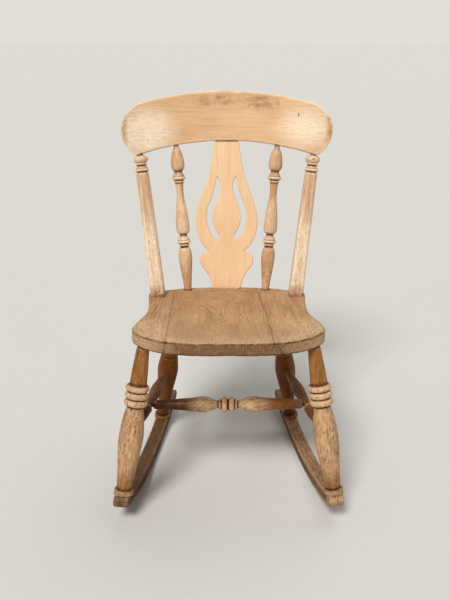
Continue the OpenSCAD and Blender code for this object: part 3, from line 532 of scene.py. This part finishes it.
def turned(node, outline, start, u, material, slot, seed, pith=(22, -35), marks=None, on_rocker=False,
           grooves=1.1, clouds=0.5, **shape):
    """Makes a turned piece that stands on start and runs along u. Its growth rings run round pith, in mm
    from its axis. marks gives more wear and dirt, and painted shadows and highlights, by place along it, in
    mm.
    grooves and clouds are the strengths of the dirt in its grooves and of the dark clouds over it."""
    mesh = spin(node, outline, material, seed, **shape)
    points = positions(mesh)
    profile, hollow, proud = wear(outline)
    nearest = np.empty(len(points), int)
    batch = 4000
    for i in range(0, len(points), batch):
        part = points[i:i + batch]
        flat = np.column_stack([part[:, 2], np.hypot(*part[:, :2].T)])
        nearest[i:i + batch] = np.argmin(((flat[:, None] - profile) ** 2 @ [1, 0.5]), axis=1)
    rough = lumps(points * [1, 1, 0.4], 9 * MM, seed) + 0.5 * lumps(points, 3 * MM, seed + 5)
    points[:, :2] *= (1 + UNEVEN_TURNING * rough)[:, None]
    store(mesh, "grain", points[:, [2, 0, 1]] + np.array([seed * 0.7, pith[0] * MM, pith[1] * MM]))

    # Dirt settles in hollows, and what stands proud, or out past the chamfers, is rubbed pale. The pale line
    # out past the chamfers is also a painted highlight along the arrises
    extra = marks(points[:, 2] / MM, outline[-1][0] / MM) if marks else {}
    settled = grooves * np.clip(1.3 * hollow[nearest] - 0.25, 0, 1)
    store(mesh, "dirt", np.clip(settled + extra.get("dirt", 0), 0, 1))
    past_chamfer = np.hypot(*points[:, :2].T) / np.maximum(profile[nearest, 1], MM) - 1.05
    store(mesh, "worn", np.maximum(0.6 * proud[nearest], 0.5 * np.clip(8 * past_chamfer, 0, 1)))
    cloud = np.clip(clouds * lumps(points * [1, 1, 0.3], 30 * MM, seed + 9), 0, 1)
    store(mesh, "stain", np.clip(cloud + extra.get("stain", 0), 0, 1))
    store(mesh, "bleach", np.clip(extra.get("bleach", np.zeros(len(points))), 0, 1))

    move_to(mesh, points)
    lean = Euler((-math.asin(u[1]), math.atan2(u[0], u[2]), 0)).to_matrix().to_4x4()
    mesh.transform(Matrix.Translation(Vector(start)) @ lean)
    world = inside_box(positions(mesh), node)
    if on_rocker:
        collar = np.hypot(*points[:, :2].T) > LEG_TENON_RADIUS + 0.4 * MM
        world[collar] = rest_on_rocker(world[collar], u)
    move_to(mesh, world)
    outward(mesh)
    place(node, mesh, material)


def turn_whole(node, rough, material, slot, seed, collar_from=None, **more):
    """Turns a piece to the outline of its node of the frame. A leg's collar starts at collar_from."""
    points = positions(nodes[node].data)
    start, end = axis_ends(points, rough)
    u = (end - start) / np.linalg.norm(end - start)
    rings = lathe_rings(points, start, u)
    if collar_from:
        rings[1:1] = [(collar_from, rings[0][1]), (collar_from, rings[1][1])]
    outline = [(s, r, 0) for s, r in softened(rings)]
    turned(node, outline, start, u, material, slot, seed, on_rocker=bool(collar_from), **more)


def between(s, low, high, edge):
    """1 from low to high along a piece, falling to 0 over edge on both sides."""
    return np.clip((s - low) / edge + 1, 0, 1) * np.clip((high - s) / edge + 1, 0, 1)


def joint_dirt_and_shade(s, low, high, reach):
    """Darkening where a piece meets its neighbours, at low and at high along it: dirt in most joints, and a
    painted shadow line where a spindle or post meets the underside of the crest rail.
    """
    return 0.9 * np.exp(-np.abs(s - low) / reach) + 0.9 * np.exp(-np.abs(s - high) / reach)


def front_leg_marks(s, length):
    """Bare wood rubbed pale on the rings, the bulb and the foot's collar, and old stain everywhere else."""
    rings, bulb, foot = between(s, 210, 252, 4), between(s, 80, 205, 50), between(s, 14, 26, 2)
    return {"bleach": 0.85 * rings + 0.6 * bulb + 0.6 * foot, "dirt": 0.7 * joint_dirt_and_shade(s, 28, 336, 4),
            "stain": 0.2 * between(s, 28, 55, 50)}


def rear_leg_marks(s, length):
    """The old stain, rubbed a little on the foot's collar."""
    return {"bleach": 0.2 * between(s, 12, 23, 2), "dirt": 0.6 * joint_dirt_and_shade(s, 25, 350, 8)}


def cross_marks(s, length):
    """Pale in the middle, bleached wood with a painted highlight, and dark at both ends, grime with painted
    shade, most at the left, where the extra dark is a painted shadow.
    """
    out = np.abs(s - length / 2)
    # The pale middle is partly a painted highlight; the dark at both ends is grime and painted shade, and
    # the extra dark at the left end is a painted shadow
    return {"bleach": 0.95 * between(out, 0, 60, 40),
            "dirt": 0.6 * between(out, 125, 200, 40) + 0.75 * between(s, 0, 85, 60)}


def spindle_marks(s, length):
    """A dirty foot, a painted shadow line at the top under the rail, and a bulb rubbed pale."""
    # The dark line at the top is a painted shadow under the rail
    return {"dirt": joint_dirt_and_shade(s, 17, length - 20, 2), "stain": 0.25 * between(s, 17, 60, 30),
            "bleach": 0.3 * between(s, 150, 215, 30)}


def post_marks(s, length):
    """A foot browned by the seat's dirt, a painted shadow line at the top under the rail, and old bleach
    above the foot, its band low on the post partly a painted highlight.
    """
    # The dark line at the top is a painted shadow under the rail, and the lower bleach band is partly a
    # painted highlight
    return {"dirt": joint_dirt_and_shade(s, 0, length - 20, 2), "stain": 0.45 * between(s, 0, 14, 16),
            "bleach": 0.1 * between(s, 60, length - 60, 60) + 0.5 * between(s, 30, 150, 50)}


UP, BACKWARD, RIGHT = (0, 0, 1), (0, 1, 0), (1, 0, 0)
for side, seed in (("left", 1), ("right", 2)):
    turn_whole("front_leg_" + side, UP, leg_beech, "leg_beech", seed + 10, COLLAR_FROM,
               marks=front_leg_marks, grooves=1.6)
    turn_whole("rear_leg_" + side, UP, stained_beech, "stained_beech", seed + 20, COLLAR_FROM,
               marks=rear_leg_marks)
    turn_whole("side_stretcher_" + side, BACKWARD, grimy_beech, "grimy_beech", seed + 30)
    turn_whole("spindle_" + side, UP, turned_beech, "turned_beech", seed + 40, marks=spindle_marks,
               clouds=0.1)
turn_whole("cross_stretcher", RIGHT, leg_beech, "leg_beech", 50, marks=cross_marks)

# The back posts: square at the foot, nearly eight-sided at the neck, then turned. Each width comes with the
# width across the chamfered corners as a share of it. The shaft starts a little way down in the dished seat
# and stops just short of the turning
POST_TURNING = 43 * MM
POST_FOOT, POST_NECK = (33 * MM, 1.24), (28 * MM, 1.06)
SHAFT_FROM, SHAFT_SHORT, SHAFT_STATIONS = -4 * MM, 1 * MM, 90
for side, seed in (("left", 61), ("right", 62)):
    node = "back_post_" + side
    points = positions(nodes[node].data)
    low, high = axis_ends(points, UP)
    u = (high - low) / np.linalg.norm(high - low)
    start = low + SEAT_SOCKET * u
    length = np.linalg.norm(high - low) - SEAT_SOCKET - CREST_SOCKET
    neck = length - POST_TURNING
    shaft = []
    for t in np.linspace(0, 1, SHAFT_STATIONS):
        width, corners = (a + (b - a) * t for a, b in zip(POST_FOOT, POST_NECK))
        shaft.append((SHAFT_FROM + (neck - SHAFT_SHORT - SHAFT_FROM) * t, width / 2, corners))
    top = softened([p for p in lathe_rings(points, start, u) if p[0] > neck])
    turned(node, shaft + [(s, r, 0) for s, r in top], start, u, turned_beech, "turned_beech", seed,
           pith=(14, 30), marks=post_marks, clouds=0.1, out_of_round=0.008, sides=96)


# ---------------------------------------------------------------- sawn pieces

def links_of(mesh):
    """Both ends of every edge, and how many edges meet at each vertex."""
    ends = np.empty(len(mesh.edges) * 2, np.int64)
    mesh.edges.foreach_get("vertices", ends)
    a, b = ends.reshape(-1, 2).T
    count = np.bincount(np.concatenate([a, b]), minlength=len(mesh.vertices))
    return a, b, np.maximum(count, 1)[:, None]


def rubbed(points, links, rounds):
    """Points after rounds of pulling each halfway to the mean of its neighbours."""
    a, b, count = links
    for _ in range(rounds):
        total = np.column_stack([
            np.bincount(a, points[b, i], len(points)) + np.bincount(b, points[a, i], len(points))
            for i in range(3)])
        points = points + 0.5 * (total / count - points)
    return points


# A board whose middle lies further than this from the centre line is an outer one
OUTER_BOARD = 50 * MM


def evened(names, voxel, laid):
    """One even, closed mesh of some nodes of the frame, laid flat by the inverse of the matrix laid. Outer
    boards are moved in, so that the hair-thin glue lines close."""
    joined = bmesh.new()
    for name in names:
        board = nodes[name].data.copy()
        outward(board)
        low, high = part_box(name)
        middle = (low[0] + high[0]) / 2
        if len(names) > 1 and abs(middle) > OUTER_BOARD:
            board.transform(Matrix.Translation((-math.copysign(GLUE_LINE, middle), 0, 0)))
        joined.from_mesh(board)
    mesh = bpy.data.meshes.new(names[0] + "_wood")
    joined.to_mesh(mesh)
    joined.free()
    mesh.transform(laid.inverted())
    blank = bpy.data.objects.new(names[0] + "_blank", mesh)
    bpy.context.scene.collection.objects.link(blank)
    modifier = blank.modifiers.new("Remesh", "REMESH")
    modifier.mode = "VOXEL"
    modifier.voxel_size = voxel * MM
    bpy.context.view_layer.update()
    mesh = bpy.data.meshes.new_from_object(blank.evaluated_get(bpy.context.evaluated_depsgraph_get()))
    bpy.data.objects.remove(blank)
    outward(mesh)
    return mesh


def shape_edges(mesh, rounds, seed, uneven, reach=40, depth=1.6):
    """Rubs the arrises round and makes the faces a little uneven. Keeps how hollow and how proud the wood is
    against its surroundings: more rounds of reach make a wider arris, less depth a stronger one."""
    links = links_of(mesh)
    points = rubbed(positions(mesh), links, rounds)
    move_to(mesh, points)
    out = normals(mesh)
    hollow = np.sum((rubbed(points, links, reach) - points) * out, axis=1) / (depth * MM)
    rise = lumps(points, 28 * MM, seed) + 0.3 * lumps(points, 9 * MM, seed)
    move_to(mesh, points + out * (uneven * MM * rise)[:, None])
    store(mesh, "hollow", hollow)


def mark_and_place(node, mesh, laid, material, slot, seed, pith, bend=None, marks=None, arris=0.5,
                   swell=None):
    """Keeps the grain and the wear of a shaped board for its shader, and puts it in place of its node. pith
    is the order of the axes, the grain's first, and where the pith lies across and in depth, in mm. bend
    says how the board is bowed, and swell where the pith curves most and by what radius, in mm. marks gives
    more wear and dirt, and painted shade and highlights, by place and outward direction. arris above 0
    leaves rubbed, pale arrises, and below 0 dirty ones."""
    flat = positions(mesh)
    if bend:
        flat[:, 1] -= bend(flat[:, 0])
    order, across, depth = pith
    grain = flat[:, order] - np.array([0, across * MM, depth * MM])
    if swell:
        grain[:, 2] += (grain[:, 0] - swell[0] * MM) ** 2 / (2 * swell[1] * MM)
    store(mesh, "grain", grain + np.array([seed * 0.9, 0, 0]))
    hollow = read(mesh, "hollow")
    mesh.attributes.remove(mesh.attributes["hollow"])
    mesh.transform(laid)
    world = inside_box(positions(mesh), node)
    move_to(mesh, world)
    out = normals(mesh)
    extra = marks(world, out) if marks else {}
    store(mesh, "end", np.clip(1.6 * np.abs(out @ np.array(laid.to_3x3())[:, order[0]]) - 0.4, 0, 1))
    proud = np.clip(-1.6 * hollow - 0.5, 0, 1)
    arris = extra.get("arris", np.full(len(world), arris))
    zero = np.zeros(len(world))
    settled = np.clip(hollow, 0, 1) + np.clip(-arris, 0, 1) * proud
    store(mesh, "dirt", np.clip(settled + extra.get("dirt", zero), 0, 1))
    store(mesh, "worn", np.clip(arris, 0, 1) * proud)
    store(mesh, "stain", np.clip(extra.get("stain", zero), 0, 1))
    store(mesh, "bleach", np.clip(extra.get("bleach", zero), 0, 1))
    place(node, mesh, material)


def sawn(node, voxel, laid, material, slot, seed, pith, rounds=7, uneven=0.25, **more):
    """Makes a sawn and shaped piece from its node of the frame."""
    mesh = evened([node], voxel, laid)
    shape_edges(mesh, rounds, seed, uneven)
    mark_and_place(node, mesh, laid, material, slot, seed, pith, **more)


def spot(points, centre, size):
    """1 in the middle of a soft spot and 0 from its edge on; centre and size in mm, 0 for any."""
    total = np.zeros(len(points))
    for axis, (c, w) in enumerate(zip(centre, size)):
        if w:
            total += ((points[:, axis] / MM - c) / w) ** 2
    return np.clip(1 - total, 0, 1)


def crest_marks(p, out):
    """Dark handling wear along the top, browned ends, a cream patch near each end that is pale wood and a
    painted highlight, one nick.
    """
    smudges = 0.33 * spot(p, (82, 0, 815), (48, 0, 24)) + 0.22 * spot(p, (-35, 0, 824), (60, 0, 18))
    smudges += 0.25 * spot(p, (10, 0, 824), (170, 0, 24))
    x, z = np.abs(p[:, 0]) / MM, p[:, 2] / MM
    band = 0.13 * np.clip((z - 790 - 0.12 * x) / 25, 0, 1)
    shoulders = 0.35 * spot(p, (-236, 0, 778), (10, 0, 30)) + 0.3 * spot(p, (230, 0, 742), (14, 0, 14))
    nick = spot(p, (166, 0, 794), (2.2, 0, 6))
    rim = 0.4 * np.clip((x - 224) / 10, 0, 1)
    # The cream patches near the ends are pale wood and also a painted highlight
    cream = 1.1 * spot(p, (-190, 0, 757), (95, 0, 75)) ** 1.8
    cream += 0.8 * spot(p, (182, 0, 767), (85, 0, 62)) ** 1.8
    return {"stain": np.maximum.reduce([smudges, band, shoulders, nick, rim]),
            "bleach": 0.12 + cream * (1 - 2 * rim)}


def splat_marks(p, out):
    """A dark line of dirt where the splat meets the seat, a painted shadow line where it meets the rail, and
    a foot a little browned.
    """
    seat_line, rail_line = p[:, 2].min() + SEAT_SOCKET, p[:, 2].max() - CREST_SOCKET
    dirt = 0.8 * np.exp(-np.abs(p[:, 2] - seat_line) / (2 * MM))
    # The line under the rail is a painted shadow, cast by the rail's lower edge
    dirt += 0.9 * np.exp(-np.abs(p[:, 2] - rail_line) / (1.5 * MM))
    foot = np.clip(1 - (p[:, 2] - seat_line) / (25 * MM), 0, 1)
    return {"dirt": dirt, "stain": 0.2 * foot}


def rocker_marks(p, out):
    """Grime all over, more on the left rocker, where the extra dark is partly dirt and partly painted shade,
    and a top and toe scuffed paler by feet.
    """
    left = p[:, 0].mean() < 0
    top = np.clip(out[:, 2] * 1.5 - 0.3, 0, 1)
    toe = np.clip((-235 * MM - p[:, 1]) / (15 * MM), 0, 1)
    # The left rocker's heavier dark is partly dirt and partly painted shade
    return {"bleach": (0.15 if left else 0.5) * top + (0 if left else 0.65) * toe,
            "dirt": (0.5 if left else 0.15) * (1 - 0.3 * toe)}


XYZ, YXZ, ZXY = [0, 1, 2], [1, 0, 2], [2, 0, 1]
RAKED = Matrix.Rotation(-BACK_RAKE, 4, "X")
SLOPED = Matrix.Rotation(-SEAT_SLOPE, 4, "X")
sawn("crest_rail", 1.9, RAKED, crest_beech, "crest_beech", 71, (XYZ, -40, 700),
     bend=lambda x: np.sqrt(CREST_BOW ** 2 - x ** 2) - CREST_BOW, marks=crest_marks, arris=0.45)
sawn("splat", 1.6, RAKED, splat_beech, "splat_beech", 72, (ZXY, -30, 80),
     rounds=3, marks=splat_marks, arris=0.1)
for side, seed, way in (("left", 81, -1), ("right", 82, 1)):
    sawn("rocker_" + side, 1.8, Matrix.Rotation(way * TRACK, 4, "Z"), grimy_beech, "grimy_beech", seed,
         (YXZ, -way * 160, -60), rounds=6, marks=rocker_marks, arris=0.5)

# The seat: shaped as one blank, then parted along its two glue joints
SEAT_ORIGIN = SLOPED.inverted() @ Vector((0, -SEAT_REACH, SEAT_HEIGHT))


def joint(x, lean, turn):
    """A point on a glue joint and the joint's normal, with the seat laid level."""
    normal = Matrix.Rotation(turn, 3, "Z") @ Matrix.Rotation(-lean, 3, "Y") @ Vector((1, 0, 0))
    return SEAT_ORIGIN + Vector((x, SEAT_DEPTH / 2, 0)), normal


def parted(mesh, cuts):
    """The part of a mesh on the inner side of every cut, closed again."""
    bm = bmesh.new()
    bm.from_mesh(mesh)
    for (point, normal), keep in cuts:
        geometry = bm.verts[:] + bm.edges[:] + bm.faces[:]
        bmesh.ops.bisect_plane(bm, geom=geometry, dist=1e-6, plane_co=point, plane_no=normal,
                               clear_inner=keep > 0, clear_outer=keep < 0)
        bmesh.ops.holes_fill(bm, edges=[e for e in bm.edges if e.is_boundary])
    bmesh.ops.recalc_face_normals(bm, faces=bm.faces)
    board = mesh.copy()
    bm.to_mesh(board)
    bm.free()
    return board


def seat_marks(p, out):
    """Dirt in the glue lines, two small slits near the right edge, end grain darkened along the middle of
    the front, a dirty front arris, and paler wood along the rim."""
    laid = p @ np.array(SLOPED.to_3x3())
    wobble = 0.8 * MM * lumps(laid, 25 * MM, 76)
    from_joints = [np.abs((laid - np.array(point)) @ np.array(normal) + wobble)
                   for point, normal in (LEFT_JOINT, RIGHT_JOINT)]
    glue_lines = 0.5 * np.exp(-np.minimum(*from_joints) / (1.3 * MM))
    glue_lines *= 0.9 + 0.4 * lumps(laid, 40 * MM, 77)
    edge = np.clip(1 - 1.5 * np.abs(out[:, 2]), 0, 1)
    slits = np.clip(spot(p, (154, -108, 0), (8, 2.2, 0)) + spot(p, (157, -70, 0), (3, 3, 0)), 0, 1)
    forward = -p[:, 1] / MM
    ends = np.clip((np.abs(p[:, 0]) / MM - 90) / 70, 0, 1)
    rim = np.clip(np.clip((forward - 185) / 40, 0, 1) + ends * np.clip((forward - 60) / 60, 0, 1), 0, 1)
    front = np.clip((forward - 140) / 50, 0, 1)
    broken = 1 + 0.3 * lumps(p, 9 * MM, 78)
    middle_edge = edge * (1 - ends)
    return {"dirt": glue_lines + 0.3 * middle_edge, "arris": -(0.2 + 0.5 * front) * broken,
            "stain": np.maximum(slits, 0.35 * middle_edge),
            "bleach": 0.12 + 0.35 * rim * (1 - edge) + 0.35 * ends * edge}


LEFT_JOINT = joint(LEFT_JOINT_X, LEFT_JOINT_LEAN, 0)
RIGHT_JOINT = joint(RIGHT_JOINT_X, RIGHT_JOINT_LEAN, RIGHT_JOINT_TURN)
blank = evened(["seat_center_board", "seat_left_board", "seat_right_board"], 1.8, SLOPED)
shape_edges(blank, 3, 73, 0.3, reach=6, depth=0.36)
for name, cuts, seed, across, depth, swell in (
        ("seat_left_board", [(LEFT_JOINT, -1)], 74, -300, 120, None),
        ("seat_center_board", [(LEFT_JOINT, 1), (RIGHT_JOINT, -1)], 73, -28, 48, (-50, 420)),
        ("seat_right_board", [(RIGHT_JOINT, 1)], 75, 150, -60, None)):
    mark_and_place(name, parted(blank, cuts), SLOPED, seat_elm, "seat_elm", seed,
                   (YXZ, across, depth + SEAT_ORIGIN.z / MM), swell=swell, marks=seat_marks)

# The nails keep the shape that they have in the frame
for name in ("post_foot_nails", "post_head_nail"):
    nail = nodes[name]
    nail.data.materials.clear()
    nail.data.materials.append(iron)


# ---------------------------------------------------------------- floor, light, camera

def plain(name, code, rough):
    """Plain matt paint, with the faintest unevenness."""
    material = bpy.data.materials.new(name)
    material.use_nodes = True
    tree = material.node_tree
    tree.nodes.clear()
    where = add(tree, "ShaderNodeTexCoord", out="Object")
    mottle = add(tree, NOISE, {"Vector": where, "Scale": 3.0})
    shade = [c * 0.97 for c in srgb(code)[:3]] + [1.0]
    colour = add(tree, MIX, {0: mottle, 6: shade, 7: srgb(code)}, **COLOUR)
    surface = add(tree, SURFACE, {"Base Color": colour, "Roughness": rough})
    add(tree, OUTPUT, {"Surface": surface})
    return material


# Far enough out that the floor's end lies on the horizon
FLOOR_REACH = 40
floor_mesh = bpy.data.meshes.new("floor")
corners = [(FLOOR_REACH * x, FLOOR_REACH * y, 0) for x, y in ((-1, -1), (1, -1), (1, 1), (-1, 1))]
floor_mesh.from_pydata(corners, [], [(0, 1, 2, 3)])
floor_mesh.materials.append(plain("floor_paint", "#d3d0ca", 0.9))
floor = bpy.data.objects.new("floor", floor_mesh)
bpy.context.scene.collection.objects.link(floor)


def lamp(name, towards, strength, softness):
    """A broad, even light shining along towards, as from a big softbox far away."""
    data = bpy.data.lights.new(name, "SUN")
    data.energy = strength
    data.angle = math.radians(softness)
    light = bpy.data.objects.new(name, data)
    bpy.context.scene.collection.objects.link(light)
    light.rotation_euler = Vector(towards).to_track_quat("-Z", "Y").to_euler()


lamp("key", (0.4, 1.0, -1.25), 2.72, 20)
lamp("top", (-0.3, -0.5, -1.0), 0.5, 40)

world = bpy.data.worlds.new("studio")
bpy.context.scene.world = world
world.use_nodes = True
tree = world.node_tree
tree.nodes.clear()
# The backdrop is seen directly and in reflections, and its colour meets the floor's at the horizon
rays = add(tree, "ShaderNodeLightPath").node.outputs
seen = add(tree, MATH, {0: rays["Is Camera Ray"], 1: rays["Is Glossy Ray"]}, operation="MAXIMUM")
seen = add(tree, MATH, {0: seen, 1: rays["Is Transmission Ray"]}, operation="MAXIMUM")
glow = add(tree, "ShaderNodeBackground", {"Color": srgb("#ffffff"), "Strength": 0.3})
backdrop = add(tree, "ShaderNodeBackground", {"Color": srgb("#e1ddd7"), "Strength": 1.0})
lit = add(tree, "ShaderNodeMixShader", {0: seen, 1: glow, 2: backdrop})
add(tree, "ShaderNodeOutputWorld", {"Surface": lit})

# The camera stands in front, a touch to the left, and looks down at the seat
CAMERA_AWAY, CAMERA_HEIGHT = 1.597, 0.9886
AROUND, PAN, DOWN, ROLL = (math.radians(a) for a in (0.865, 0.203, 20.006, 0.094))
camera_data = bpy.data.cameras.new("camera")
camera_data.sensor_width = 36
camera_data.lens = 45.33
camera = bpy.data.objects.new("camera", camera_data)
bpy.context.scene.collection.objects.link(camera)
turn = Matrix.Rotation(PAN - AROUND, 4, "Z") @ Matrix.Rotation(math.pi / 2 - DOWN, 4, "X")
stand = Vector((-CAMERA_AWAY * math.sin(AROUND), -CAMERA_AWAY * math.cos(AROUND), CAMERA_HEIGHT))
camera.matrix_world = Matrix.Translation(stand) @ turn @ Matrix.Rotation(ROLL, 4, "Z")
bpy.context.scene.camera = camera
bpy.context.scene.view_settings.view_transform = "Standard"
